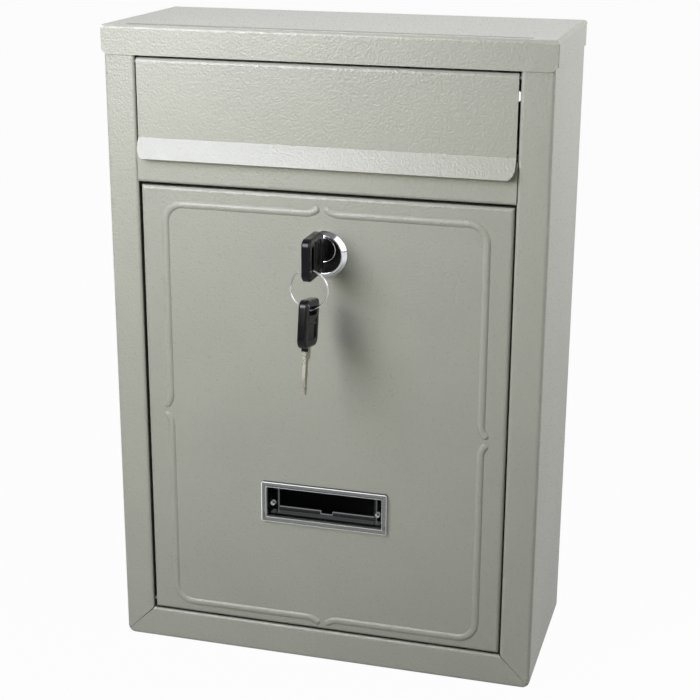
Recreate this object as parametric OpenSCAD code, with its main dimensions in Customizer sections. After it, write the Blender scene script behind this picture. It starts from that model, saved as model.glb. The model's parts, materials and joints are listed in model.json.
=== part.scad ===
// Wall-mounted steel collection box with a hinged letter flap, a drop-down
// door with cam lock, a clear name window and two keys on a ring.
// Millimetres. X to the right, Y towards the wall, Z up; origin at the
// centre of the base.

/* [Cabinet] */
// Width over the folded body sheet
body_w = 214; // [190:1:260]
// Height over the top cap
height = 317; // [300:1:380]
// Depth over the top cap
depth = 92; // [80:1:140]
// Thickness of the steel sheet
sheet = 0.8; // [0.7:0.1:1]
// Outer radius of the fold between each side and the bottom
corner_r = 4; // [3:0.5:7]
// Outer radius of the folds round the front and the rear
fold_r = 1.8; // [1.5:0.1:2]
// Width of each side flange of the front
side_flange = 15.4; // [13:0.1:20]
// Height of the bottom flange of the front
bottom_flange = 16.5; // [14:0.1:20]
// Depth of the return folded behind each flange
return_d = 10; // [9:0.5:14]
// Width of the rear flanges
rear_flange = 12; // [10:0.5:20]

/* [Top cap] */
// Height of the front lip of the cap
cap_lip = 14; // [12:0.5:18]
// Height of the side and rear flanges of the cap
cap_flange = 12; // [8:0.5:13]
// Outer radius of the folds of the cap
cap_fold_r = 2; // [1.6:0.1:2.5]
// Radius of the lower corners of the front lip
cap_corner_r = 3.5; // [2:0.5:6]
// Relief notch between the lip and the side flanges
cap_notch = 1.4; // [1:0.1:3]

/* [Rail and flap] */
// Height of the rail between flap and door
rail_h = 19.8; // [18:0.1:26]
// Depth of the rail channel
rail_d = 20; // [18:0.5:24]
// Diameter of the rod that the flap turns on
rod_d = 2.6; // [2:0.1:3]
// Running clearance round the rod
rod_clear = 0.08; // [0.05:0.01:0.1]
// Gap between the flap and each side flange
flap_side_gap = 0.8; // [0.5:0.1:1.5]
// Gap between the rolled edge of the flap and the lip above it
flap_top_gap = 0.9; // [0.6:0.1:1.5]
// Height of the bend of the flap above the rail
flap_bend_up = 1.8; // [1.6:0.1:3]
// Length of the finger lip of the flap
flap_lip = 10.6; // [8:0.1:13]
// Angle of the finger lip out of the flap
flap_angle = 25; // [20:1:30]
// Radius of the lower corners of the finger lip
flap_corner_r = 6; // [3:0.5:8]

/* [Door] */
// Height of the door
door_h = 224.3; // [212:0.1:226]
// Depth of the folded edges of the door
door_d = 10; // [8:0.5:12]
// Gap under the door
door_gap_bottom = 0.8; // [0.7:0.1:1.2]
// Gap above the door
door_gap_top = 1.1; // [0.8:0.1:1.6]
// Gap left of the door
door_gap_left = 1.2; // [0.5:0.1:1.5]
// Gap right of the door
door_gap_right = 0.5; // [0.5:0.1:1.5]
// Distance of the hinge axis behind the face of the door
hinge_in = 3.2; // [3.2:0.1:3.5]
// Height of the hinge axis above the lower edge of the door
hinge_up = 3.6; // [3.6:0.1:4]
// Diameter of the hinge pins
hinge_pin_d = 2.6; // [2:0.1:2.6]
// Running clearance round the hinge pins
hinge_clear = 0.05; // [0.03:0.01:0.1]
// Width of the pressed bead
bead_w = 3.6; // [3:0.1:4]
// Height of the pressed bead
bead_h = 0.9; // [0.6:0.1:1]
// Distance of the bead from the side edges of the door
bead_side = 12.1; // [10:0.1:20]
// Distance of the bead from the top edge of the door
bead_top = 8.6; // [8:0.1:10]
// Distance of the bead from the bottom edge of the door
bead_bottom = 6; // [6:0.1:12]
// Corner radius of the bead
bead_corner_r = 9; // [6:0.5:14]
// Radius of the flared ends of the bead
bead_end_r = 8; // [5:0.5:9]
// Angle of the flared ends of the bead
bead_end_angle = 40; // [20:1:40]
// Gap between facing ends of the bead
bead_gap = 5.5; // [4.5:0.5:10]

/* [Name window] */
// Width of the window rim
window_w = 64.5; // [56:0.5:76]
// Height of the window rim
window_h = 21; // [19:0.5:26]
// Width of the rim round the pane
window_rim = 2.5; // [2:0.1:3]
// Height of the rim in front of the door
window_proud = 2; // [1.5:0.1:2.5]
// Height of the window centre above the lower edge of the door
window_up = 67.7; // [50:0.5:110]
// Distance of the window centre right of the middle of the door
window_side = 1.2; // [-2:0.1:2]
// Wall of the window moulding
window_wall = 1.2; // [1:0.1:1.5]

/* [Lock] */
// Distance of the lock centre below the top edge of the door
lock_down = 27.5; // [26:0.5:30]
// Distance of the lock centre right of the middle of the door
lock_side = 1.5; // [-2:0.5:2]
// Diameter of the chrome bezel
bezel_d = 22.5; // [21:0.5:24]
// Height of the bezel in front of the door
bezel_h = 3; // [2.5:0.1:3.5]
// Diameter of the black face of the lock
lock_face_d = 17.3; // [17:0.1:17.6]
// Diameter of the lock barrel
barrel_d = 18.6; // [18.4:0.1:19]
// Width over the flats of the barrel
barrel_flats = 16.4; // [16:0.1:17]
// Diameter of the plug
plug_d = 12; // [11.5:0.1:12]
// Height of the plug axis above the barrel axis
plug_up = 2.5; // [2:0.1:2.5]
// Running clearance round the plug
plug_clear = 0.05; // [0.03:0.01:0.1]
// Width over the flats of the lock nut
nut_flats = 24; // [22:0.5:26]
// Thickness of the lock nut
nut_t = 3; // [2.5:0.5:4]
// Reach of the cam from the plug axis
cam_reach = 38; // [34:0.5:42]
// Width of the cam
cam_w = 15; // [12:0.5:16]
// Thickness of the cam
cam_t = 2; // [1.5:0.1:2.5]

/* [Keys] */
// Length of the plastic head
key_head_l = 22.4; // [21:0.2:26]
// Width of the plastic head
key_head_w = 20; // [18:0.1:21]
// Thickness of the plastic head
key_head_t = 4.3; // [4:0.1:5]
// Height of the middle of the head above the plug axis with the key home
key_head_up = 1; // [0:0.1:1.5]
// Corner radius of the plastic head
key_head_r = 3.6; // [2.5:0.1:5]
// Length of the ring slot in the head
key_slot_l = 12.6; // [10:0.1:13]
// Width of the ring slot in the head
key_slot_w = 4; // [3.5:0.1:4.5]
// Distance of the ring slot from the end of the head
key_slot_in = 5.5; // [5:0.1:7]
// Length of the blade in front of the head
key_blade_l = 22.5; // [20:0.5:22.5]
// Width of the blade
key_blade_w = 4.8; // [4.4:0.1:6]
// Width of the shoulder between the blade and the head
key_shoulder_w = 7; // [6.5:0.1:8]
// Thickness of the blade
key_blade_t = 1.8; // [1.6:0.1:2.2]
// Distance of the head from the face of the plug with the key home
key_stand = 6.2; // [5:0.1:7]
// Lean of the spare key on the ring, towards the front
spare_lean = 10; // [0:1:12]
// Outer diameter of the key ring
ring_d = 19; // [18:0.1:24]
// Diameter of the wire of the key ring
ring_wire = 1; // [0.9:0.1:1.3]

/* [Wall fixing] */
// Distance between the fixing holes across the back
fix_w = 150; // [120:1:160]
// Distance between the fixing holes up the back
fix_h = 240; // [200:1:260]
// Diameter of the fixing holes
fix_d = 5.5; // [4.5:0.5:7]

/* [Hidden] */
$fn = 96;
cut = 1; // overrun of a cutting tool past the surface it opens
seat_gap = 0.3; // gap of a loose piece from its seat
y_back = depth / 2;
y_cap = -depth / 2;
y_face = y_cap + sheet;
cap_w = body_w + 2 * sheet;
opening_w = body_w - 2 * side_flange;
open_x = opening_w / 2;
cap_top_gap = 0.2; // body sheet below the fold of the cap
body_top = height - cap_fold_r - cap_top_gap;
lip_z = height - cap_lip;
door_z = bottom_flange + door_gap_bottom;
door_top = door_z + door_h;
rail_z = door_top + door_gap_top;
rail_top = rail_z + rail_h;
door_x0 = -open_x + door_gap_left;
door_x1 = open_x - door_gap_right;
door_w = door_x1 - door_x0;
door_x = (door_x0 + door_x1) / 2;
hinge_y = y_face + hinge_in;
hinge_z = door_z + hinge_up;
eye_in = rod_d / 2 + rod_clear;
eye_out = eye_in + sheet;
rod_y = y_face + eye_out;
rod_z = lip_z - flap_top_gap - eye_out;
flap_w = opening_w - 2 * flap_side_gap;
flap_bend_z = rail_top + flap_bend_up;
retainer_d = 7; // push-on retainers of the rod
retainer_t = 1.2;
pin_head_d = 5; // rivet heads of the hinge pins
pin_head_t = 1;
pin_reach = 2; // of a hinge pin into the door
mitre_l = 13; // length of the open part of a mitre
mitre_gap = 0.5; // width of a mitre at its inner end
lock_x = door_x + lock_side;
lock_z = door_top - lock_down;
plug_z = lock_z + plug_up;
barrel_back = y_face + rail_d;
face_out = bezel_h - 0.4; // height of the black face in front of the door
plug_front = y_face - face_out + 0.2;
keyway_clear = 0.1;
key_in = key_blade_l - key_stand; // length of blade inside the plug
cam_gap = 0.1; // between the barrel and the cam
stub_w = 6.5; // square end of the plug
washer_d = 11;
washer_t = 1;
screw_d = 4;
screw_head_d = 7.6;
screw_head_t = 2.6;
screw_in = 3.4; // length of the screw in the plug
cam_y = barrel_back + cam_gap;
washer_y = cam_y + cam_t;
screw_y = washer_y + washer_t;
key_y = plug_front - key_stand; // near end of the head of the key in the lock
ring_r = (ring_d - ring_wire) / 2;
wire_r = ring_wire / 2;
// the ring bends down by this much over half the thickness of a head
ring_sag = ring_r - sqrt(pow(ring_r, 2) - pow(key_head_t / 2, 2));
ring_y = key_y - key_head_l + key_slot_in;
ring_top_z = plug_z + key_head_up - key_slot_l / 2 + wire_r + ring_sag + seat_gap;
ring_z = ring_top_z - ring_r;
ring_low_z = ring_z - ring_r;
spare_slot_z = ring_low_z + ring_sag + wire_r + seat_gap - key_slot_w / 2;
bead_r = (pow(bead_w / 2, 2) + pow(bead_h, 2)) / (2 * bead_h); // radius of its crown
bead_sink = bead_r - bead_h;
window_x = door_x + window_side;
window_z = door_z + window_up;
window_hole_w = window_w - 2 * window_rim;
window_hole_h = window_h - 2 * window_rim;
window_fit = 0.2; // clearance of the moulding in its cut-out
skirt_d = 5;
pane_t = 1;
rib_t = 0.8; // ribs across the ends of the window
rib_x = window_hole_w / 2 - 4.8;
boss_d = 2.2; // moulded bosses between the ribs and the ends
boss_l = 2.5;
boss_down = 1.5; // of the bosses below the middle of the window
strip_h = 2.4; // height of the card strip and of its thumb notch
notch_w = 6;
notch_h = 1.6;
retainer_y = y_face + skirt_d - pane_t - seat_gap;
blade_grip = 9; // length of the blade moulded into the head
sunk_r = 0.6; // corners of the groove and the panel of a head
groove_in = 9.6; // of the groove and the panel from the end of a head
panel_in = 12;
tab_t = 3; // tab of a head along the back of the blade
tab_l = 1.8;
tab_over = 0.6;

// extrusions of a drawn section along one axis, from a to b
module along_x(a, b) { translate([a, 0, 0]) rotate([90, 0, 90]) linear_extrude(b - a) children(); }
module along_y(a, b) { translate([0, b, 0]) rotate([90, 0, 0]) linear_extrude(b - a) children(); }
module along_z(a, b) { translate([0, 0, a]) linear_extrude(b - a) children(); }

// a rectangle from corner a to corner b
module box2(a, b) { translate(a) square(b - a); }
module box3(a, b) { translate(a) cube(b - a); }

// a rectangle whose corners have the radii r = [low left, low right, high right, high left]
module round_box(a, b, r) {
    difference() {
        box2(a, b);
        corner_cut(a, [1, 1], r[0]);
        corner_cut([b[0], a[1]], [-1, 1], r[1]);
        corner_cut(b, [-1, -1], r[2]);
        corner_cut([a[0], b[1]], [1, -1], r[3]);
    }
}

// what rounding takes off a corner at p that points away from dir
module corner_cut(p, dir, r) {
    if (r > 0) translate(p) scale1(dir) difference() {
        translate([-cut, -cut]) square(r + cut);
        translate([r, r]) circle(r);
    }
}

// flips the axes named by -1 in dir
module scale1(dir) {
    mirror([dir[0] < 0 ? 1 : 0, 0]) mirror([0, dir[1] < 0 ? 1 : 0]) children();
}

// a copy on each side of the middle plane x = 0
module both_sides() {
    children();
    mirror([1, 0, 0]) children();
}

// section of the quarter bend and return behind a flange: the opening lies on
// the left of it and the front below it
module return_section(depth_back) {
    difference() {
        round_box([0, 0], [fold_r, depth_back], [fold_r, 0, 0, 0]);
        round_box([sheet, sheet], [fold_r + cut, depth_back + cut], [fold_r - sheet, 0, 0, 0]);
    }
}

// the block that the body sheet wraps, drawn in by inset
module body_block(inset, top) {
    w = body_w / 2 - inset;
    f = fold_r - inset;
    c = corner_r - inset;
    front = y_face + inset;
    rear = y_back - inset;
    along_z(corner_r, top) round_box([-w, front], [w, rear], [f, f, f, f]);
    along_x(c - w, w - c) round_box([front, inset], [rear, corner_r], [f, f, 0, 0]);
    both_sides() translate([w - c, 0, corner_r]) rotate([-90, 0, 0])
        rotate_extrude(angle = 90) round_box([0, front], [c, rear], [0, f, f, 0]);
}

// the region above the two mitre lines of the front, or below them
module mitre_side() {
    reach = 40;
    polygon([[open_x, bottom_flange], [open_x + reach, bottom_flange - reach],
             [open_x + reach, height], [open_x - reach, height], [open_x - reach, bottom_flange + reach]]);
}

// the open part of a mitre, a wedge that closes towards the outer corner
module mitre_wedge() {
    translate([open_x, bottom_flange]) rotate(-45)
        polygon([[-cut, -mitre_gap / 2], [-cut, mitre_gap / 2], [mitre_l, 0]]);
}

// one sheet folded into both sides, the bottom and the front and rear flanges
module body_wrap() color("#b9bcb3") {
    difference() {
        union() {
            difference() {
                body_block(0, body_top);
                body_block(sheet, height);
                box3([-open_x - fold_r, y_face - cut, bottom_flange - fold_r],
                     [open_x + fold_r, y_face + sheet + cut / 2, height]);
                box3([-body_w / 2 + rear_flange, y_back - 2 * sheet, rear_flange],
                     [body_w / 2 - rear_flange, y_back + cut, height]);
                box3([-body_w, y_back - sheet, height - cap_flange - seat_gap],
                     [body_w, y_back + cut, height]);
            }
            both_sides() intersection() {
                translate([open_x, y_face, 0]) along_z(bottom_flange - fold_r, body_top)
                    return_section(return_d);
                along_y(y_face - cut, y_face + return_d + cut) mitre_side();
            }
            difference() {
                translate([0, y_face, bottom_flange]) mirror([0, 0, 1])
                    along_x(-open_x - fold_r, open_x + fold_r) mirror([1, -1]) return_section(return_d);
                both_sides() along_y(y_face - cut, y_face + return_d + cut) mitre_side();
            }
        }
        both_sides() along_y(y_face - cut, y_face + fold_r) mitre_wedge();
        both_sides() along_x(open_x - cut, open_x + fold_r) translate([hinge_y, hinge_z])
            circle(d = hinge_pin_d);
        both_sides() along_x(open_x - cut, open_x + fold_r) translate([rod_y, rod_z])
            circle(d = rod_d);
    }
}

module cap_block(inset) {
    w = cap_w / 2 - inset;
    r = cap_fold_r - inset;
    intersection() {
        along_x(-w, w)
            round_box([y_cap + inset, lip_z - inset * cut], [y_back - inset, height - inset], [0, 0, r, r]);
        along_y(y_cap + inset, y_back - inset)
            round_box([-w, lip_z - inset * cut], [w, height - inset], [0, 0, r, r]);
    }
}

// folded cover with a deep front lip and shallow flanges on the other sides
module top_cap() color("#c3c6bd") {
    flange_z = height - cap_flange;
    fold_z = height - cap_fold_r;
    difference() {
        cap_block(0);
        cap_block(sheet);
        box3([-cap_w, y_cap + sheet, lip_z - cut], [cap_w, y_back + cut, flange_z]);
        both_sides() box3([cap_w / 2 - sheet - cut / 4, y_cap + sheet, lip_z - cut],
                          [cap_w, y_cap + sheet + cap_notch, fold_z]);
        both_sides() box3([cap_w / 2 - sheet - cap_notch, y_back - sheet - cap_notch, lip_z - cut],
                          [cap_w, y_back + cut, fold_z]);
        along_y(y_cap - cut, y_cap + sheet + cut / 4) {
            corner_cut([-cap_w / 2, lip_z], [1, 1], cap_corner_r);
            corner_cut([cap_w / 2, lip_z], [-1, 1], cap_corner_r);
        }
    }
}

// flat panel inside the rear flanges, with the four wall-fixing holes
module back_panel() color("#b9bcb3") {
    edge = fold_r + seat_gap;
    low_r = corner_r - edge; // lower corners, clear of the folds
    difference() {
        along_y(y_back - 2 * sheet, y_back - sheet)
            round_box([-body_w / 2 + edge, edge],
                      [body_w / 2 - edge, height - cap_fold_r - seat_gap], [low_r, low_r, 0, 0]);
        both_sides() for (z = [-fix_h / 2, fix_h / 2])
            along_y(y_back - 3 * sheet, y_back) translate([fix_w / 2, height / 2 + z]) circle(d = fix_d);
    }
}

// channel across the front between the flap and the door
module mid_rail() color("#b9bcb3") {
    i = fold_r - sheet;
    along_x(-open_x, open_x) difference() {
        round_box([y_face, rail_z], [y_face + rail_d, rail_top], [fold_r, 0, 0, fold_r]);
        round_box([y_face + sheet, rail_z + sheet], [y_face + rail_d + cut, rail_top - sheet], [i, 0, 0, i]);
    }
    both_sides() box3([open_x - sheet, y_face + sheet / 2, rail_z + sheet / 2],
                      [open_x, y_face + return_d, rail_top - sheet / 2]);
}

module flap_rod() color("#c8c9ca") {
    end = open_x + sheet + retainer_t + seat_gap;
    along_x(-end, end) translate([rod_y, rod_z]) circle(d = rod_d);
}

// push-on retainers outside the returns that carry the rod
module rod_retainers() color("#8f9193") {
    both_sides() along_x(open_x + sheet, open_x + sheet + retainer_t) translate([rod_y, rod_z])
        difference() {
            circle(d = retainer_d);
            circle(d = rod_d);
            box2([-retainer_d, -retainer_d], [fold_r - eye_out, retainer_d]);
        }
}

// riveted pins that the door turns on
module hinge_pins() color("#c8c9ca") {
    head_x = open_x + sheet;
    both_sides() {
        along_x(open_x - door_gap_left - sheet - pin_reach, head_x) translate([hinge_y, hinge_z])
            circle(d = hinge_pin_d);
        along_x(head_x, head_x + pin_head_t) translate([hinge_y, hinge_z]) intersection() {
            circle(d = pin_head_d);
            box2([fold_r - hinge_in, -pin_head_d], [pin_head_d, pin_head_d]);
        }
    }
}

// section of the flap: rolled eye, straight leaf and finger lip
module flap_section() {
    mid = y_face + sheet / 2;
    difference() {
        translate([rod_y, rod_z]) circle(eye_out);
        translate([rod_y, rod_z]) circle(eye_in);
        box2([y_face + sheet + seat_gap, rod_z - eye_out - cut], [rod_y, rod_z]);
    }
    box2([y_face, flap_bend_z], [y_face + sheet, rod_z]);
    translate([mid, flap_bend_z]) circle(d = sheet);
    translate([mid, flap_bend_z]) rotate(-flap_angle) box2([-sheet / 2, -flap_lip], [sheet / 2, 0]);
}

module letter_flap() color("#c6c9c0") {
    low = flap_bend_z - flap_lip * cos(flap_angle) - sheet;
    w = flap_w / 2;
    intersection() {
        along_x(-w, w) flap_section();
        along_y(y_face - flap_lip, y_face + 2 * eye_out)
            round_box([-w, low], [w, height], [flap_corner_r, flap_corner_r, 0, 0]);
    }
}

// the block of the folded door tray, drawn in by inset
module door_block(inset, back) {
    a = [door_x0 + inset, door_z + inset];
    b = [door_x1 - inset, door_top - inset];
    f = fold_r - inset;
    intersection() {
        along_x(a[0], b[0]) round_box([y_face + inset, a[1]], [back, b[1]], [f, 0, 0, f]);
        along_z(a[1], b[1]) round_box([a[0], y_face + inset], [b[0], back], [f, f, 0, 0]);
    }
}

// section of the bead: across it on x and out of the face on y, cut off at
// the given depth behind the face
module crown(r, depth_back) {
    intersection() {
        translate([0, -bead_sink]) circle(r);
        box2([-r, -depth_back], [r, r]);
    }
}

// sweeps a section along an arc in the face plane, round p from angle a
module bead_arc(p, a, angle, ring) {
    translate([p[0], 0, p[1]]) rotate([90, 0, 0]) rotate([0, 0, a])
        rotate_extrude(angle = angle) translate([ring, 0]) children();
}

// domed end of the bead, a touch larger than the section it closes
module bead_dome(p) {
    over = 1.02;
    translate([p[0], 0, p[1]]) rotate([90, 0, 0]) rotate_extrude() scale(over) intersection() {
        children();
        translate([0, -bead_r]) square(2 * bead_r);
    }
}

// one quarter of the bead, drawn from the middle of the run: the corner, half
// of the top and of the side, and their two ends, which flare outwards
module bead_quarter() {
    hx = (door_w - 2 * bead_side) / 2;
    hz = (door_h - bead_top - bead_bottom) / 2;
    c = bead_corner_r;
    e = bead_end_r;
    turn = bead_end_angle;
    stop = bead_gap / 2 + e * sin(turn);
    bead_arc([hx - c, hz - c], 0, 90, c) children();
    along_x(stop, hx - c) translate([0, hz]) rotate(90) children();
    along_z(stop, hz - c) translate([hx, 0]) rotate(180) children();
    translate([stop, 0, hz + e]) mirror([1, 0, 0]) bead_arc([0, 0], 270, turn, e) children();
    bead_arc([hx + e, stop], 180, turn, e) children();
    bead_dome([bead_gap / 2, hz + e - e * cos(turn)]) children();
    bead_dome([hx + e - e * cos(turn), bead_gap / 2]) children();
}

module bead_run() {
    translate([door_x, y_face, door_z + bead_bottom + (door_h - bead_top - bead_bottom) / 2])
        for (x = [0, 1], z = [0, 1])
            mirror([x, 0, 0]) mirror([0, 0, z]) bead_quarter() children();
}

module door_panel() color("#b4b7ad") {
    back = y_face + door_d;
    difference() {
        union() {
            difference() {
                door_block(0, back);
                door_block(sheet, back + cut);
            }
            bead_run() crown(bead_r, sheet / 2);
        }
        bead_run() crown(bead_r - sheet, sheet + cut / 2);
        along_y(y_face - cut, y_face + 2 * sheet) {
            lock_hole();
            translate([window_x, window_z])
                square([window_hole_w, window_hole_h], center = true);
        }
        along_x(-open_x, open_x) translate([hinge_y, hinge_z]) circle(d = hinge_pin_d + 2 * hinge_clear);
    }
}

module lock_hole() {
    clear = 0.1;
    translate([lock_x, lock_z]) intersection() {
        circle(d = barrel_d + 2 * clear);
        square([barrel_flats + 2 * clear, barrel_d * 2], center = true);
    }
}

module name_window() color("#dfe3e2", 0.5) {
    w = window_hole_w - 2 * window_fit;
    h = window_hole_h - 2 * window_fit;
    lug = 0.8; // snap lugs behind the sheet
    low = -h / 2 + window_wall / 2;
    translate([window_x, 0, window_z]) {
        difference() {
            along_y(y_face - window_proud, y_face)
                round_box([-window_w / 2, -window_h / 2], [window_w / 2, window_h / 2], [1, 1, 1, 1]);
            along_y(y_face - window_proud - cut, y_face - pane_t)
                square([window_hole_w, window_hole_h], center = true);
        }
        difference() {
            along_y(y_face - pane_t, y_face + skirt_d) square([w, h], center = true);
            along_y(y_face, y_face + skirt_d + cut)
                square([w - 2 * window_wall, h - 2 * window_wall], center = true);
        }
        both_sides() {
            box3([rib_x, y_face - pane_t / 2, low], [rib_x + rib_t, y_face + skirt_d, -low]);
            along_y(y_face - pane_t / 2, y_face + boss_l)
                translate([(rib_x + rib_t + w / 2 - window_wall) / 2, -boss_down]) circle(d = boss_d);
        }
        both_sides() box3([w / 2 - window_wall / 2, y_face + sheet + seat_gap / 3, -h / 4],
                          [w / 2 + window_fit + lug, y_face + sheet + 2 * lug, h / 4]);
    }
}

// clear strip that holds the foot of the name card against the pane, with a
// thumb notch
module card_retainer() color("#dfe3e2", 0.5) {
    foot = -window_hole_h / 2 + window_fit + window_wall;
    translate([window_x, 0, window_z]) along_y(retainer_y, retainer_y + pane_t) difference() {
        box2([-rib_x, foot], [rib_x, foot + strip_h]);
        box2([-notch_w / 2, foot + strip_h - notch_h], [notch_w / 2, foot + strip_h + cut]);
    }
}

// turns a section drawn as (radius, distance behind the face) round the lock axis
module turned(z) {
    translate([lock_x, y_face, z]) rotate([-90, 0, 0]) rotate_extrude() children();
}

module lock_barrel() color("#2a2a2a") {
    difference() {
        union() {
            turned(lock_z) box2([0, -face_out], [lock_face_d / 2, 0]);
            along_y(y_face, barrel_back) translate([lock_x, lock_z]) intersection() {
                circle(d = barrel_d);
                square([barrel_flats, barrel_d * 2], center = true);
            }
        }
        along_y(y_face - bezel_h - cut, barrel_back + cut) translate([lock_x, plug_z])
            circle(d = plug_d + 2 * plug_clear);
    }
}

// chrome bezel, a shallow cone round the black face
module lock_bezel() color("#dcdcdc") {
    rim = 0.7;
    turned(lock_z) polygon([[lock_face_d / 2, 0], [bezel_d / 2, 0], [bezel_d / 2, -rim],
                            [lock_face_d / 2 + rim, -bezel_h], [lock_face_d / 2, -bezel_h]]);
}

module lock_nut() color("#c8c9ca") {
    along_y(y_face + sheet, y_face + sheet + nut_t) translate([lock_x, lock_z]) difference() {
        circle(d = nut_flats / cos(30), $fn = 6);
        circle(d = barrel_d + 2 * plug_clear);
    }
}

module lock_plug() color("#2a2a2a") {
    slot_w = key_blade_t + 2 * keyway_clear;
    slot_h = key_blade_w + 2 * keyway_clear;
    stub_back = cam_y + cam_t;
    difference() {
        union() {
            along_y(plug_front, cam_y) translate([lock_x, plug_z]) circle(d = plug_d);
            along_y(cam_y - cut, stub_back) translate([lock_x, plug_z]) square(stub_w, center = true);
        }
        along_y(plug_front - cut, plug_front + key_in + keyway_clear) translate([lock_x, plug_z])
            square([slot_w, slot_h], center = true);
        along_y(stub_back - screw_in, stub_back + cut) translate([lock_x, plug_z]) circle(d = screw_d);
    }
}

// flat cam on the square end of the plug, pointing aside when the lock is open
module lock_cam() color("#c8c9ca") {
    tip_in = 2; // of the tip inside the width of the hub
    tip_r = cam_w / 2 - tip_in;
    along_y(cam_y, cam_y + cam_t) translate([lock_x, plug_z]) difference() {
        union() {
            circle(d = cam_w);
            box2([-cam_reach + tip_r, -tip_r], [0, tip_r]);
            translate([-cam_reach + tip_r, 0]) circle(tip_r);
        }
        square(stub_w, center = true);
    }
}

module cam_washer() color("#c8c9ca") {
    along_y(washer_y, washer_y + washer_t) translate([lock_x, plug_z]) difference() {
        circle(d = washer_d);
        circle(d = screw_d);
    }
}

module cam_screw() color("#c8c9ca") {
    slot = 0.9; // width of the cross recess
    slot_l = 4.7;
    slot_d = 1.5;
    difference() {
        union() {
            along_y(washer_y - screw_in, screw_y + cut) translate([lock_x, plug_z]) circle(d = screw_d);
            along_y(screw_y, screw_y + screw_head_t) translate([lock_x, plug_z])
                circle(d = screw_head_d);
        }
        for (turn = [0, 90])
            translate([lock_x, screw_y + screw_head_t, plug_z]) rotate([0, turn, 0])
                cube([slot_l, 2 * slot_d, slot], center = true);
    }
}

// a head drawn with its far end at u = 0 and the axis of the plug at v = 0
module head_outline() {
    w = key_head_w / 2;
    r = key_head_r;
    blade_end_r = 1.2 * r; // corners beside the blade
    translate([0, key_head_up]) difference() {
        round_box([0, -w], [key_head_l, w], [r, blade_end_r, blade_end_r, r]);
        key_slot_outline();
    }
}

module key_slot_outline() {
    s = key_slot_w / 2;
    r = s - 0.04; // leaves a short flat at each end
    translate([key_slot_in, 0]) round_box([-s, -key_slot_l / 2], [s, key_slot_l / 2], [r, r, r, r]);
}

// sinks a rectangle from a to b of half width v into both faces of a head
module sunk_both(a, b, v, deep) {
    t = key_head_t / 2;
    for (x = [-t - cut, t - deep])
        along_x(x, x + cut + deep) translate([0, key_head_up])
            round_box([a, -v], [b, v], [sunk_r, sunk_r, sunk_r, sunk_r]);
}

// plastic head, slotted for the ring, with a finger groove and a panel sunk
// into both faces and a tab along the back of the blade
module head_solid() {
    t = key_head_t / 2;
    l = key_head_l;
    back = -key_blade_w / 2;
    difference() {
        union() {
            along_x(-t, t) head_outline();
            along_x(-tab_t / 2, tab_t / 2)
                box2([l - blade_grip, back - tab_over], [l + tab_l, back + tab_over]);
        }
        sunk_both(groove_in, groove_in + sunk_r * 2.4, key_head_w / 3, 0.4);
        sunk_both(panel_in, l - 4, key_head_w / 3, 0.6);
        along_x(-key_blade_t / 2, key_blade_t / 2) blade_outline();
    }
}

// blade with a straight back, a shoulder by the head and a pointed tip
module blade_outline() {
    w = key_blade_w / 2;
    l = key_head_l;
    far = l + key_blade_l;
    stop = l + key_stand - seat_gap; // end of the shoulder, in front of the plug
    tip = 2.4; // length of the point
    tip_low = w * 0.2; // its blunt end below and above the middle
    tip_high = w * 0.1;
    bow = w * 0.7; // height of the cut side
    shoulder = key_shoulder_w - w;
    polygon([[l - blade_grip, -w], [far - tip, -w], [far, -tip_low], [far, tip_high],
             [far - tip, bow], [stop, bow], [stop, shoulder], [l - blade_grip, shoulder]]);
}

module blade_solid() {
    groove = 0.35; // depth of the keyway groove
    groove_w = 1.4;
    difference() {
        along_x(-key_blade_t / 2, key_blade_t / 2) blade_outline();
        for (side = [-1, 1])
            translate([side * key_blade_t / 2, key_head_l + key_stand, 0])
                translate([-groove, 0, -groove_w / 2]) cube([2 * groove, key_blade_l, groove_w]);
    }
}

// puts a key drawn along +Y into the lock, or hangs it from the ring
module in_lock() { translate([lock_x, key_y - key_head_l, plug_z]) children(); }
module on_ring() {
    translate([lock_x, ring_y, ring_low_z]) rotate([-90 - spare_lean, 0, 0])
        translate([0, ring_low_z - spare_slot_z - key_slot_in, -key_head_up]) children();
}

module key_head() color("#1f1f21") in_lock() head_solid();
module key_blade() color("#c2c0b8") in_lock() blade_solid();
module spare_key_head() color("#1f1f21") on_ring() head_solid();
module spare_key_blade() color("#c2c0b8") on_ring() blade_solid();

module key_ring() color("#d6d6d6") {
    translate([lock_x, ring_y, ring_z]) rotate([90, 0, 0]) rotate_extrude()
        translate([ring_r, 0]) circle(wire_r);
}

body_wrap();
top_cap();
back_panel();
mid_rail();
flap_rod();
rod_retainers();
hinge_pins();
letter_flap();
door_panel();
name_window();
card_retainer();
lock_barrel();
lock_bezel();
lock_nut();
lock_plug();
lock_cam();
cam_washer();
cam_screw();
key_blade();
key_head();
key_ring();
spare_key_blade();
spare_key_head();
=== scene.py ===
import json
import math

import bmesh
import bpy
from mathutils import Matrix, Vector


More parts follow.
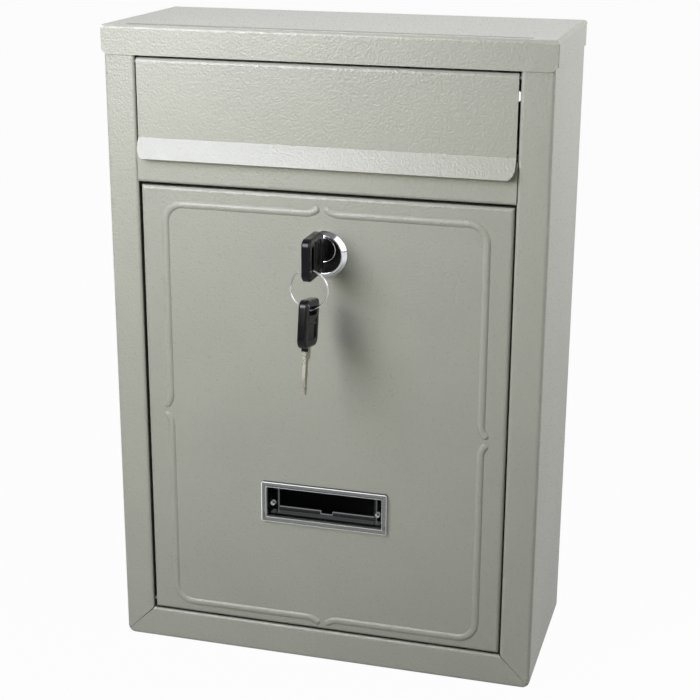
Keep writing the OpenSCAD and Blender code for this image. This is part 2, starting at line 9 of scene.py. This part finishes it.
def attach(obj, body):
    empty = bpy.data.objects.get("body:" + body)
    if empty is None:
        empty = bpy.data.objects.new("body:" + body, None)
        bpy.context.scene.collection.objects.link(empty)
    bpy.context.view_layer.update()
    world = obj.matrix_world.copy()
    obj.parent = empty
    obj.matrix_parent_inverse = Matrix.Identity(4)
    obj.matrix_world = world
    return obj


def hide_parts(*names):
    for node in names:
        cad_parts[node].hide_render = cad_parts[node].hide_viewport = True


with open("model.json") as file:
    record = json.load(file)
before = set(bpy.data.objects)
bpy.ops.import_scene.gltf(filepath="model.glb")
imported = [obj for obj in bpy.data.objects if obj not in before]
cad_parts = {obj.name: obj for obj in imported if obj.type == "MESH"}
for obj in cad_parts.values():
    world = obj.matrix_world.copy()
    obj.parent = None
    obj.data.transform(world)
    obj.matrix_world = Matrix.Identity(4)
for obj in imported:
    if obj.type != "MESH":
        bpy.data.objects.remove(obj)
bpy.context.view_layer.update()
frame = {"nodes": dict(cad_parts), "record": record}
mm = 0.001
print("frame loaded:", len(frame["nodes"]), "nodes")


class Wire:
    # a socket that takes part in expressions
    def __init__(self, graph, socket):
        self.graph = graph
        self.socket = socket

    def out(self, name):
        return Wire(self.graph, self.socket.node.outputs[name])

    def calc(self, kind, *values):
        return self.graph.add("ShaderNodeMath", {"operation": kind}, dict(enumerate(values)))

    def __add__(self, other):
        return self.calc("ADD", self, other)

    def __sub__(self, other):
        return self.calc("SUBTRACT", self, other)

    def __rsub__(self, other):
        return self.calc("SUBTRACT", other, self)

    def __mul__(self, other):
        return self.calc("MULTIPLY", self, other)

    def __pow__(self, other):
        return self.calc("POWER", self, other)

    def __abs__(self):
        return self.calc("ABSOLUTE", self)

    __radd__ = __add__
    __rmul__ = __mul__

    def most(self, other):
        return self.calc("MAXIMUM", self, other)

    def within(self, low, high):  # 0 below low, 1 above high
        return self.graph.add("ShaderNodeMapRange", {"interpolation_type": "SMOOTHSTEP"},
                              {"Value": self, "From Min": low, "From Max": high})

    def past(self, start, over):  # 0 up to start, 1 from start + over
        return self.within(start, start + over)


class Graph:
    # the nodes of a material or of the world
    def __init__(self, owner, ending="ShaderNodeOutputMaterial"):
        owner.use_nodes = True
        self.owner = owner
        self.ending = ending
        self.tree = owner.node_tree
        self.tree.nodes.clear()

    def add(self, kind, settings=None, sockets=None):
        node = self.tree.nodes.new(kind)
        for key, value in (settings or {}).items():
            setattr(node, key, value)
        for key, value in (sockets or {}).items():
            if isinstance(value, Wire):
                self.tree.links.new(value.socket, node.inputs[key])
            else:
                node.inputs[key].default_value = value
        return Wire(self, node.outputs[0])

    def spot(self, name="Object"):
        return self.add("ShaderNodeTexCoord").out(name)

    def axes(self, name="Object"):
        parts = self.add("ShaderNodeSeparateXYZ", None, {0: self.spot(name)})
        return parts, parts.out("Y"), parts.out("Z")

    def noise(self, size, detail=2.0, stretch=(1, 1, 1), **more):  # size in metres
        place = self.spot()
        if stretch != (1, 1, 1):
            place = self.add("ShaderNodeMapping", None, {"Vector": place, "Scale": stretch})
        sockets = {"Vector": place, "Scale": 1 / size, "Detail": detail}
        sockets.update(more)
        return self.add("ShaderNodeTexNoise", None, sockets)

    def mix(self, factor, a, b):
        return self.add("ShaderNodeMix", {"data_type": "RGBA"}, {0: factor, 6: a, 7: b}).out(2)

    def bump(self, height, distance, normal=None):
        sockets = {"Height": height, "Distance": distance}
        if normal is not None:
            sockets["Normal"] = normal
        return self.add("ShaderNodeBump", None, sockets)

    def finish(self, shader):
        end = self.tree.nodes.new(self.ending)
        self.tree.links.new(shader.socket, end.inputs["Surface"])
        return self.owner

    def principled(self, sockets):
        return self.finish(self.add("ShaderNodeBsdfPrincipled", None, sockets))


def tint(tone, lift=1.0):
    return (tone[0] * lift, tone[1] * lift, tone[2] * lift, 1)


powder = {
    "tone": (0.395, 0.401, 0.326),
    "shadeTone": 0.88,     # tone of clouds, specks and seams, as a share of the tone
    "rough": 0.33,
    "roughSwing": 0.3,
    "pebble": 0.00095,     # size of the orange peel
    "pebbleHeight": 0.00019,
    "fine": 0.0006,
    "fineHeight": 0.00005,
    "wave": 0.035,         # slow unevenness of the sheet
    "waveHeight": 0.00012,
    "cloud": 0.06,
    "cloudShade": 0.4,
    "speck": 0.0007,
    "speckShade": 0.07,
    "seamX": 0.0916,       # inner end of the mitre seams
    "seamZ": 0.0165,
    "seamY": -0.0445,      # the seams are in front of this
    "seamWidth": 0.00018,
    "seamShade": 0.8,
    "seamDepth": 0.0002,
    "gapNear": -0.0444,    # painted shade darkens the folds behind the front between these depths
    "gapFar": -0.0405,
    "gapHalf": 0.0955,     # up to this far from the middle
    # painted shade in the gaps: its tone as a share of the coat's, and how far it covers the
    # folds
    "gapShadeTone": 0.12,
    "gapShadeCover": 0.85,
}


def seamLines(x, y, z):
    # 1 on the mitre seams at the foot of the front
    off = abs(abs(x) - powder["seamX"] + z - powder["seamZ"])
    seam = 1 - off.past(0, powder["seamWidth"] * 2)
    return seam * (1 - y.past(powder["seamY"], mm)) * (1 - z.past(powder["seamZ"] - mm, mm))


def shadedGapFolds(x, y):
    # 1 on the folds that line the gaps of the front, which get painted shade
    fold = y.past(powder["gapNear"], 0.6 * mm) * (1 - y.past(powder["gapFar"], 2 * mm))
    return fold * (1 - abs(x).past(powder["gapHalf"], mm))


def powderCoat(name, pebbles=1.0, seams=False, lift=1.0):
    g = Graph(bpy.data.materials.new(name))
    x, y, z = g.axes()
    pebble = g.noise(powder["pebble"], 1.0, Roughness=0.4)
    fine = g.noise(powder["fine"], 1.0)
    wave = g.noise(powder["wave"], 1.0)
    cloud = g.noise(powder["cloud"], 3.0).within(0.35, 0.7)
    speck = g.noise(powder["speck"], 0.0).within(0.62, 0.72)
    shade = cloud * powder["cloudShade"] + speck * powder["speckShade"]
    normal = g.bump(wave, powder["waveHeight"])
    if seams:
        seam = seamLines(x, y, z)
        shade = shade + seam * powder["seamShade"]
        normal = g.bump(1 - seam, powder["seamDepth"], normal)
    normal = g.bump(pebble, powder["pebbleHeight"] * pebbles, normal)
    normal = g.bump(fine, powder["fineHeight"] * pebbles, normal)
    tone = powder["tone"]
    coat = g.mix(shade, tint(tone, lift), tint(tone, powder["shadeTone"] * lift))
    # painted shade on the folds beside the gaps, mixed over the coat
    gapShade = tint(tone, powder["gapShadeTone"])
    return g.principled({
        "Base Color": g.mix(shadedGapFolds(x, y) * powder["gapShadeCover"], coat, gapShade),
        "Roughness": powder["rough"] + (pebble - 0.5) * powder["roughSwing"],
        "Normal": normal,
        "IOR": 1.5,
    })


zinc = {
    "bloom": 0.007,        # size of the cloudy bloom
    "bloomShade": 0.6,
    "bloomTone": 0.75,
    "roughSwing": 0.25,
    "grain": 0.0009,
    "grainHeight": 0.00001,
}


def zincPlate(name, tone, rough):
    g = Graph(bpy.data.materials.new(name))
    bloom = g.noise(zinc["bloom"], 3.0)
    shade = bloom.within(0.35, 0.7) * zinc["bloomShade"]
    return g.principled({
        "Base Color": g.mix(shade, tint(tone), tint(tone, zinc["bloomTone"])),
        "Metallic": 1.0,
        "Roughness": rough + (bloom - 0.5) * zinc["roughSwing"],
        "Normal": g.bump(g.noise(zinc["grain"], 3.0, (1, 1, 6)), zinc["grainHeight"]),
    })


chrome = {
    "haze": 0.003,
    "hazeShade": 0.5,
    "hazeTone": 0.88,
    "roughSwing": 0.08,
    "ripple": 0.0012,
    "rippleHeight": 0.000004,
}


def chromePlate(name, tone, rough):
    g = Graph(bpy.data.materials.new(name))
    haze = g.noise(chrome["haze"], 3.0)
    shade = haze.within(0.4, 0.7) * chrome["hazeShade"]
    return g.principled({
        "Base Color": g.mix(shade, tint(tone), tint(tone, chrome["hazeTone"])),
        "Metallic": 1.0,
        "Roughness": rough + (haze - 0.5) * chrome["roughSwing"],
        "Normal": g.bump(g.noise(chrome["ripple"], 2.0), chrome["rippleHeight"]),
    })


black = {
    "rub": 0.004,          # size of the rubbed places
    "rubShade": 0.5,
    "rubTone": 2.0,
    "roughSwing": 0.15,
}


def blackFinish(name, tone, rough, grainSize, grainHeight):
    g = Graph(bpy.data.materials.new(name))
    rub = g.noise(black["rub"], 3.0)
    shade = rub.within(0.5, 0.75) * black["rubShade"]
    return g.principled({
        "Base Color": g.mix(shade, tint(tone), tint(tone, black["rubTone"])),
        "Roughness": rough + (rub - 0.5) * black["roughSwing"],
        "Normal": g.bump(g.noise(grainSize, 2.0), grainHeight),
        "IOR": 1.36,
    })


clear = {  # places in mm
    "tone": (0.72, 0.74, 0.73),
    "deep": (0.004, 0.004, 0.005),
    "highlightGlow": (0.46, 0.47, 0.48),
    "rough": 0.06,
    "pane": 0.03,          # how much of the plastic shows, face on
    "rim": 0.16,
    "edge": 0.7,           # at a grazing look
    "paneShade": 0.62,         # painted shade: the share of light the pane lets through, which darkens what stands behind it
    "rimShade": 0.97,
    "rimY": -46.8,         # the rim stands in front of this
    "bossY": -45.0,        # bosses and sill stand behind this
    "stripY": -42.0,
    "ribY": -40.7,
    "middle": (1.55, 85.0),
    "outer": (32.25, 10.5),
    "inner": (29.75, 8.0),
    "rib": 25.35,          # middle of the ribs
    "boss": (27.05, -1.5, 1.1),  # place and radius
    "strip": (-4.2, -5.8, 3.0),  # top of the card strip, foot and half width of its notch
    "stripHalf": 24.6,
    "steps": (-4.9, -5.5),
    "sill": (-6.6, 28.2),  # height and half width
    "unlit": 0.55,         # light of the rim at the foot and on the right
}


def band(value, middle, half):
    return 1 - abs(value - middle).within(half * 0.6, half)


def stripHighlights(u, v, y):
    # painted highlights along the card strip at the foot of the pane, with its notch
    top, foot, half = clear["strip"]
    edge = band(v, top, 0.3) * u.past(half - 0.1, 0.1)
    notchFoot = band(v, foot, 0.2) * (1 - u.past(half, 0.1))
    notchSide = band(u, half, 0.2) * v.past(foot - 0.1, 0.1)
    high, low = clear["steps"]
    steps = band(v, high, 0.16).most(band(v, low, 0.16)) * 0.5
    inside = (1 - u.past(clear["stripHalf"], 0.2)) * y.past(clear["stripY"], 0.1)
    return edge.most(notchFoot.most(notchSide)).most(steps) * inside


def edgeHighlights(x, y, z):
    # painted highlights on the moulded edges: they glow by emission in place of reflections
    left, v = clear["middle"][0] - x, z - clear["middle"][1]
    u, up = abs(left), abs(v)
    outX, outZ = clear["outer"]
    inX, inZ = clear["inner"]
    front = 1 - y.past(clear["rimY"] - 0.2, 0.2)
    lit = v.past(outZ - 1, 0.6).most(left.past(outX - 0.75, 0.5))
    rimEdge = (u - outX).most(up - outZ).past(-0.45, 0.25) * front
    rimEdge = rimEdge * (clear["unlit"] + (1 - clear["unlit"]) * lit)
    holeEdge = band((u - inX).most(up - inZ), 0.12, 0.25) * front * 0.5
    ribs = band(u, clear["rib"], 0.5) * y.past(clear["ribY"], 0.2)
    bossX, bossZ, bossR = clear["boss"]
    off = ((u - bossX) ** 2 + (v - bossZ) ** 2) ** 0.5
    behind = y.past(clear["bossY"], 0.1)
    boss = band(off, bossR, 0.25) * behind
    sillZ, sillHalf = clear["sill"]
    sill = band(v, sillZ, 0.3) * behind * (1 - u.past(sillHalf, 0.2)) * 0.5
    highlights = rimEdge.most(holeEdge).most(ribs).most(boss)
    return highlights.most(stripHighlights(u, v, y)).most(sill)


def clearPlastic(name):
    g = Graph(bpy.data.materials.new(name))
    x, y, z = (axis * 1000 for axis in g.axes())
    flow = g.noise(0.006, 2.0, (1, 1, 3))
    glance = g.add("ShaderNodeLayerWeight", None, {"Blend": 0.35}).out("Facing") ** 2.5
    rim = 1 - y.past(clear["rimY"], 0.3)
    base = clear["pane"] + rim * (clear["rim"] - clear["pane"])
    highlights = edgeHighlights(x, y, z)
    shows = (base + glance * (clear["edge"] - base)).most(highlights)
    tone = g.mix(flow.within(0.4, 0.7), tint(clear["tone"]), tint(clear["tone"], 0.9))
    plastic = g.add("ShaderNodeBsdfPrincipled", None, {
        # lighter on the rim; at a grazing look the colour is painted lighter too, a painted sheen
        "Base Color": g.mix(rim.most(glance), tint(clear["deep"]), tone),
        "Roughness": clear["rough"] + flow * 0.05,
        "IOR": 1.49,
        "Normal": g.bump(flow, 0.00002),
        # painted highlights: the edges glow by emission, with no lamp there
        "Emission Color": g.mix(highlights, tint((0, 0, 0)), tint(clear["highlightGlow"])),
        "Emission Strength": 1.0,
    })
    # painted shade on what is seen through the pane and, much less, through the rim
    dim, lit = (g.add("ShaderNodeBsdfTransparent", None, {"Color": tint((k, k, k))})
                for k in (clear["paneShade"], clear["rimShade"]))
    through = g.add("ShaderNodeMixShader", None, {0: rim, 1: dim, 2: lit})
    return g.finish(g.add("ShaderNodeMixShader", None, {0: shows, 1: through, 2: plastic}))


finishes = {
    "body_paint": powderCoat("bodyPaint", seams=True),
    "cap_paint": powderCoat("capPaint", pebbles=0.9),
    "flap_paint": powderCoat("flapPaint"),
    # the door's coat is a shaded copy of the same paint, 0.95 as bright: painted shade
    "door_paint": powderCoat("doorPaint", lift=0.95),
    "zinc": zincPlate("zincPlate", (0.20, 0.20, 0.205), 0.6),
    "lock_black": blackFinish("lockLacquer", (0.006, 0.006, 0.0065), 0.25, 0.0006, 0.000006),
    "chrome": chromePlate("bezelChrome", (0.80, 0.81, 0.83), 0.12),
    "clear_plastic": clearPlastic("windowPlastic"),
    "key_black": blackFinish("keyPlastic", (0.003, 0.003, 0.004), 0.18, 0.0004, 0.000005),
    "key_steel": zincPlate("keyNickel", (0.62, 0.60, 0.53), 0.27),
    "ring_steel": chromePlate("ringSteel", (0.85, 0.85, 0.85), 0.07),
}
print("finishes made:", len(finishes))

slotOf = {part["node"]: part["material_slot"] for part in frame["record"]["subparts"]}


def paint(piece, slot):
    piece.data.materials.clear()
    piece.data.materials.append(finishes[slot])


for name, node in frame["nodes"].items():
    paint(node, slotOf[name])


def added(bm, name, body, slot, replaces=None):
    # turns a bmesh into a piece that rides a body
    bmesh.ops.recalc_face_normals(bm, faces=bm.faces)
    mesh = bpy.data.meshes.new(name)
    bm.to_mesh(mesh)
    bm.free()
    mesh.shade_smooth()
    mesh.set_sharp_from_angle(angle=math.radians(35))
    piece = bpy.data.objects.new(name, mesh)
    bpy.context.scene.collection.objects.link(piece)
    paint(piece, slot)
    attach(piece, body)
    if replaces:
        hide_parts(replaces)
    return piece


def rounded(piece, width, segments=2, angle=32):
    bevel = piece.modifiers.new("edges", "BEVEL")
    bevel.limit_method = "ANGLE"
    bevel.angle_limit = math.radians(angle)
    bevel.width = width
    bevel.segments = segments
    bevel.harden_normals = True
    return bevel


def merged(source, flat=0.4):
    # the mesh of a CAD node without its seams; flat is in degrees
    bm = bmesh.new()
    bm.from_mesh(frame["nodes"][source].data)
    bmesh.ops.remove_doubles(bm, verts=bm.verts, dist=0.002 * mm)
    if flat:
        bmesh.ops.dissolve_limit(bm, angle_limit=math.radians(flat),
                                 verts=bm.verts, edges=bm.edges)
    return bm


def skinned(bm, rings, closed=False):
    # faces between neighbouring rings of points, and over the ends of an open row
    count = len(rings[0])
    for near, far in zip(rings, rings[1:] + (rings[:1] if closed else [])):
        for k in range(count):
            m = (k + 1) % count
            bm.faces.new((near[k], near[m], far[m], far[k]))
    if not closed:
        bm.faces.new(rings[0])
        bm.faces.new(rings[-1])


softEdges = {  # name, body, width in mm, segments
    "name_window": ("nameWindow", "door", 0.25, 2),
    "lock_bezel": ("lockBezel", "door", 0.3, 3),
    "lock_barrel": ("lockFace", "door", 0.15, 2),
}
for source, (name, body, width, segments) in softEdges.items():
    rounded(added(merged(source), name, body, slotOf[source], source), width * mm, segments)
print("soft edges made:", len(softEdges))

keys = {
    "lockX": 1.85,
    "plugZ": 216.6,
    "keyY": -53.8,         # blade end of the head in the lock
    "headLong": 22.4,
    "headWide": 20.0,
    "headUp": 1.0,
    "lean": 10,
    "ringY": -70.7,
    "ringLowZ": 194.361,
    "slotDown": 0.939,     # from the low point of the ring to the middle of the slot
    "slotIn": 5.5,
    "slotLong": 2.3,       # half sizes of the field round the slot
    "slotWide": 6.6,
    "mouthWide": 1.7,      # half width of the mouth of the blade
    "panelFrom": 9.3,      # the sunk panel, along the head
    "panelTo": 18.7,
    "edge": 0.95,          # rounding of the head
    "slotEdge": 0.45,
    "panelEdge": 0.22,
    "mouthEdge": 0.05,
    "sharp": 30,           # only edges with more turn than this are rounded
}
camel = {"key": "key", "spare_key": "spareKey"}


def headPlaces():
    home = Matrix.Translation((keys["lockX"], keys["keyY"] - keys["headLong"], keys["plugZ"]))
    hung = Matrix.Translation((keys["lockX"], keys["ringY"], keys["ringLowZ"]))
    hung = hung @ Matrix.Rotation(math.radians(-90 - keys["lean"]), 4, "X")
    hung = hung @ Matrix.Translation((0, keys["slotDown"] - keys["slotIn"], -keys["headUp"]))
    return {"key": home, "spare_key": hung}


def keyHead(body, place):
    bm = merged(body + "_head", None)
    weights = bm.edges.layers.float.new("bevel_weight_edge")
    back = place.inverted()
    for edge in bm.edges:
        if len(edge.link_faces) != 2 or edge.calc_face_angle(0) < math.radians(keys["sharp"]):
            continue
        where = back @ ((edge.verts[0].co + edge.verts[1].co) / 2 / mm)
        along, across = where.y, abs(where.z - keys["headUp"])
        width = keys["edge"]
        if along > keys["headLong"] - 0.05 and abs(where.x) < keys["mouthWide"]:
            width = keys["mouthEdge"]
        elif (keys["panelFrom"] < along < keys["panelTo"]
              and across < keys["headWide"] / 3 + 0.3):
            width = keys["panelEdge"]
        elif abs(along - keys["slotIn"]) < keys["slotLong"] and across < keys["slotWide"]:
            width = keys["slotEdge"]
        edge[weights] = width / keys["edge"]
    piece = added(bm, camel[body] + "Head", body, "key_black", body + "_head")
    bevel = rounded(piece, keys["edge"] * mm, 4)
    bevel.limit_method = "WEIGHT"
    bevel.use_clamp_overlap = False


for body, place in headPlaces().items():
    keyHead(body, place)
print("key heads made")

blade = {
    "long": 22.5,
    "grip": 8.5,           # inside the head
    "thick": 1.5,
    "back": -2.4,
    "cut": 1.68,           # height of the cut side
    "shoulder": 4.6,
    "stand": 5.9,
    "tip": 2.4,
    "tipTop": 0.24,
    "tipBack": -0.48,
    "least": 0.2,
    "grooveFrom": 6.5,
    "grooveTo": 21.0,
    "grooveLow": -0.7,
    "grooveHigh": 0.5,
    "grooveIn": 0.35,
    "grooveSlope": 0.05,
    "wall": 0.1,           # left between the groove and the edges
    "notches": ((8.2, 0.5), (10.6, 1.0), (13.0, 0.35), (15.4, 0.8), (17.8, 0.45)),
    "notchHalf": 1.15,
    "notchFlat": 0.25,     # half width of its floor
    "edge": 0.2,
}


def bladeTop(u):
    if u <= blade["stand"]:
        return blade["shoulder"]
    top = blade["cut"]
    flat = blade["notchFlat"]
    for middle, deep in blade["notches"]:
        climb = max(0, abs(u - middle) - flat) / (blade["notchHalf"] - flat)
        top = min(top, blade["cut"] - deep + climb * deep)
    share = (blade["long"] - u) / blade["tip"]
    if share < 1:
        top = min(top, blade["tipTop"] + (blade["cut"] - blade["tipTop"]) * share)
    return max(top, blade["least"])


def bladeBack(u):
    share = min(1, (blade["long"] - u) / blade["tip"])
    return blade["tipBack"] + (blade["back"] - blade["tipBack"]) * share


def bladeStations():
    # places along the blade where its outline turns
    stations = [-blade["grip"], 0, blade["stand"], blade["stand"] + 0.01, blade["long"]]
    stations += [blade["long"] - blade["tip"] * k / 4 for k in range(1, 5)]
    reach, flat = blade["notchHalf"], blade["notchFlat"]
    for middle, _ in blade["notches"]:
        for step in (reach, (reach + flat) / 2, flat):
            stations += [middle - step, middle + step]
    return sorted(set(round(u, 4) for u in stations if u <= blade["long"]))


def keyBlade(body, place):
    bm = bmesh.new()
    rings = []
    half, wall, slope = blade["thick"] / 2, blade["wall"], blade["grooveSlope"]
    for u in bladeStations():
        low, high = bladeBack(u), bladeTop(u)
        grooved = (blade["grooveFrom"] < u < blade["grooveTo"]
                   and high > blade["grooveHigh"] + wall)
        inner = half - (blade["grooveIn"] if grooved else 0)
        grooveLow = max(blade["grooveLow"], low + wall)
        grooveHigh = min(blade["grooveHigh"], high - wall)
        side = [(half, low), (half, grooveLow), (inner, grooveLow + slope),
                (inner, grooveHigh - slope), (half, grooveHigh), (half, high)]
        outline = side + [(-x, v) for x, v in reversed(side)]
        rings.append([bm.verts.new(place @ Vector((x, keys["headLong"] + u, v)) * mm)
                      for x, v in outline])
    skinned(bm, rings)
    piece = added(bm, camel[body] + "Blade", body, "key_steel", body + "_blade")
    rounded(piece, blade["edge"] * mm, 2, 40)


for body, place in headPlaces().items():
    keyBlade(body, place)
print("key blades made")

ring = {
    "x": keys["lockX"],
    "y": keys["ringY"],
    "z": 203.361,
    "radius": 9.05,
    "radial": 0.74,        # size of the flattened wire
    "axial": 0.55,
    "corner": 0.26,
    "between": 0.03,       # from turn to turn
    "step": 0.45,          # angle over which the wire changes turn
    "gap": 0.12,
    "start": 2.1,
    "count": 220,          # sections along the wire
    "sides": 16,
}


def wireSection():
    # outline of the flattened wire: outwards, along the axis
    corner = ring["corner"]
    points = []
    for k in range(ring["sides"]):
        t = 2 * math.pi * (k + 0.5) / ring["sides"]
        points.append((
            math.copysign(ring["radial"] / 2 - corner, math.cos(t)) + corner * math.cos(t),
            math.copysign(ring["axial"] / 2 - corner, math.sin(t)) + corner * math.sin(t)))
    return points


def splitRing():
    bm = bmesh.new()
    total = 4 * math.pi - ring["step"] - ring["gap"]
    rings = []
    for i in range(ring["count"] + 1):
        angle = total * i / ring["count"]
        rise = (angle - (2 * math.pi - ring["step"])) / ring["step"]
        rise = min(1, max(0, rise))
        rise = rise * rise * (3 - 2 * rise)
        y = ring["y"] + (rise - 0.5) * (ring["axial"] + ring["between"])
        turn = angle + ring["start"]
        section = []
        for outward, along in wireSection():
            r = ring["radius"] + outward
            place = (ring["x"] + r * math.cos(turn), y + along, ring["z"] + r * math.sin(turn))
            section.append(bm.verts.new(Vector(place) * mm))
        rings.append(section)
    skinned(bm, rings)
    added(bm, "splitRing", "ring", "ring_steel", "key_ring")


splitRing()
print("split ring made")

plugRim = {
    "place": (keys["lockX"], -47.6, keys["plugZ"]),
    "radius": 5.75,
    "wide": 0.42,
    "proud": 0.16,
    "sunk": 0.1,
    "steps": 72,
}


def plugEdge():
    # thin plated lip round the front of the plug
    bm = bmesh.new()
    half, proud, sunk = plugRim["wide"] / 2, plugRim["proud"], plugRim["sunk"]
    section = [(-half, sunk), (-half * 0.6, -proud * 0.7), (0, -proud),
               (half * 0.6, -proud * 0.7), (half, sunk)]
    rings = []
    for k in range(plugRim["steps"]):
        turn = Matrix.Rotation(2 * math.pi * k / plugRim["steps"], 4, "Y")
        place = Matrix.Translation(plugRim["place"]) @ turn
        rings.append([bm.verts.new(place @ Vector((plugRim["radius"] + x, y, 0)) * mm)
                      for x, y in section])
    skinned(bm, rings, True)
    added(bm, "plugRim", "plug", "chrome")


plugEdge()
print("plug rim made")


ground = {
    "half": 12,            # half size, m
    "camera": 0.97,        # how bright each kind of ray sees it
    "gloss": 0.45,
    "glossRight": 0.9,     # on the right of the object
    "through": 0.9,
    "plain": 0.35,         # light that it gives back to the object
}


def stageFloor():
    bm = bmesh.new()
    bmesh.ops.create_grid(bm, x_segments=1, y_segments=1, size=ground["half"])
    mesh = bpy.data.meshes.new("floor")
    bm.to_mesh(mesh)
    bm.free()
    floor = bpy.data.objects.new("floor", mesh)
    bpy.context.scene.collection.objects.link(floor)
    g = Graph(bpy.data.materials.new("floorPaper"))
    ray = g.add("ShaderNodeLightPath")
    right = g.axes()[0].within(0.2, 0.5)
    gloss = ground["gloss"] + right * (ground["glossRight"] - ground["gloss"])
    seen = (ray.out("Is Camera Ray") * ground["camera"]).most(ray.out("Is Glossy Ray") * gloss)
    seen = seen.most(ray.out("Is Transmission Ray") * ground["through"])
    plain = g.add("ShaderNodeBsdfDiffuse", None, {"Color": tint((ground["plain"],) * 3)})
    white = g.add("ShaderNodeEmission", None, {"Color": (1, 1, 1, 1), "Strength": 1.0})
    paper = g.add("ShaderNodeMixShader", None, {0: seen, 1: plain, 2: white})
    floor.data.materials.append(g.finish(paper))


studio = {
    "ambient": 0.015,      # light on the object from all round
    "front": 0.04,         # what metal and gloss see on the side of the camera
    "rear": 0.9,           # and behind the object
    "turn": (-0.25, 0.55),  # direction in y where front becomes rear
    "above": 0.14,         # more of it overhead
    "aboveFrom": (0.5, 0.8),
    "right": 1.6,          # and in a window on the right
    "windowX": (0.27, 0.36),  # directions where the window starts
    "windowFoot": (0.02, 0.1),
    "windowTop": (0.84, 0.9),
}


def backdrop():
    g = Graph(bpy.data.worlds.new("studio"), "ShaderNodeOutputWorld")
    bpy.context.scene.world = g.owner
    ray = g.add("ShaderNodeLightPath")
    x, y, z = g.axes("Generated")
    behind = y.within(*studio["turn"])
    gloss = studio["front"] + behind * (studio["rear"] - studio["front"])
    gloss = gloss + z.within(*studio["aboveFrom"]) * studio["above"]
    window = x.within(*studio["windowX"]) * z.within(*studio["windowFoot"])
    window = window * (1 - z.within(*studio["windowTop"])) * (1 - behind)
    gloss = gloss.most(window * studio["right"])
    level = (ray.out("Is Glossy Ray") * gloss).most(studio["ambient"])
    level = level.most(ray.out("Is Camera Ray").most(ray.out("Is Transmission Ray")))
    g.finish(g.add("ShaderNodeBackground", None, {"Color": (1, 1, 1, 1), "Strength": level}))


lamps = {  # where, aimed at, size, watts, colour, seen in gloss
    "frontLamp": ((-0.20, -0.50, 0.36), (-0.04, -0.04, 0.22), 0.22, 1.12, (1, 1.003, 0.90), True),
    "highLamp": ((-0.12, -0.55, 0.52), (0.0, -0.04, 0.26), 0.25, 0.38, (1, 1, 0.95), True),
    "cornerLamp": ((-0.20, -0.36, 0.46), (-0.07, -0.04, 0.27), 0.22, 1.36, (1, 1, 1.25), True),
    "topLamp": ((0.0, -0.10, 1.1), (-0.02, 0, 0.3), 0.70, 1.67, (1, 1, 1.08), False),
    "topRightLamp": ((0.25, -0.15, 0.9), (0.06, 0, 0.3), 0.40, 0.9, (1, 1, 1.04), False),
    "rearLamp": ((-0.15, 0.80, 1.0), (0, 0.05, 0.16), 0.60, 2.4, (1, 1, 1.05), True),
    "sideLamp": ((0.45, 0.15, 0.35), (0.1, 0, 0.20), 0.35, 1.3, (1, 1, 1.08), True),
    "foldLamp": ((0.42, -0.12, 0.34), (0.1, 0, 0.26), 0.20, 0.14, (1, 1, 1), True),
}


def addLamp(name, where, target, size, watts, colour, inGloss):
    data = bpy.data.lights.new(name, "AREA")
    data.size = size
    data.energy = watts
    data.color = colour
    lamp = bpy.data.objects.new(name, data)
    lamp.location = where
    aim = Vector(target) - Vector(where)
    lamp.rotation_euler = aim.to_track_quat("-Z", "Y").to_euler()
    lamp.visible_glossy = inGloss
    bpy.context.scene.collection.objects.link(lamp)


view = {
    "place": (0.2072, -0.7280, 0.3943),
    "right": (0.9619101, 0.2733231, 0.00484269),
    "down": (0.08758857, -0.29137397, -0.95259092),
    "lens": 80.306,
    "sensor": 36,
}


def addCamera():
    data = bpy.data.cameras.new("camera")
    data.lens = view["lens"]
    data.sensor_width = view["sensor"]
    camera = bpy.data.objects.new("camera", data)
    right, up = Vector(view["right"]), -Vector(view["down"])
    turn = Matrix((right, up, right.cross(up))).transposed()
    camera.matrix_world = Matrix.Translation(view["place"]) @ turn.to_4x4()
    bpy.context.scene.collection.objects.link(camera)
    bpy.context.scene.camera = camera


stageFloor()
backdrop()
for name, settings in lamps.items():
    addLamp(name, *settings)
addCamera()
bpy.context.scene.view_settings.view_transform = "Standard"
print("stage, lamps and camera set")
